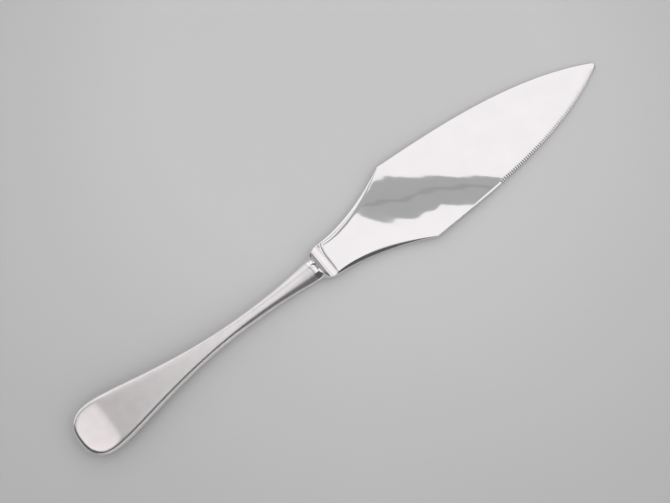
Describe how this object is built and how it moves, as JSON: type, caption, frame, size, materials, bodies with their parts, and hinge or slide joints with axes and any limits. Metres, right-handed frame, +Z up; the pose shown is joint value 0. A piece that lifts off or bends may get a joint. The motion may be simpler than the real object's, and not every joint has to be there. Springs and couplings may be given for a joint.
{
  "type": "cake knife",
  "caption": "Cake knife with a leaf-shaped, mirror-polished blade, a fine serrated edge, a forged bolster and a waisted hollow satin steel handle.",
  "frame": {"origin": "on the table, under the middle of the knife's length, with the knife lying at rest on its collar and tip", "axes": "+X from the butt to the tip, +Z up out of the table and out of the upper face, serrated edge towards -Y"},
  "size_m": [0.27, 0.0394, 0.0066],
  "materials": {
    "mirror_steel": "mirror-polished stainless steel",
    "satin_steel": "fine satin stainless steel",
    "braze": "nickel braze film, ground flush",
    "cement": "dull cutler's cement"
  },
  "bodies": {
    "root": {"blade": "mirror_steel", "upper_handle_shell": "satin_steel", "lower_handle_shell": "satin_steel", "seam_braze": "braze", "tang_cement": "cement"}
  },
  "joints": []
}
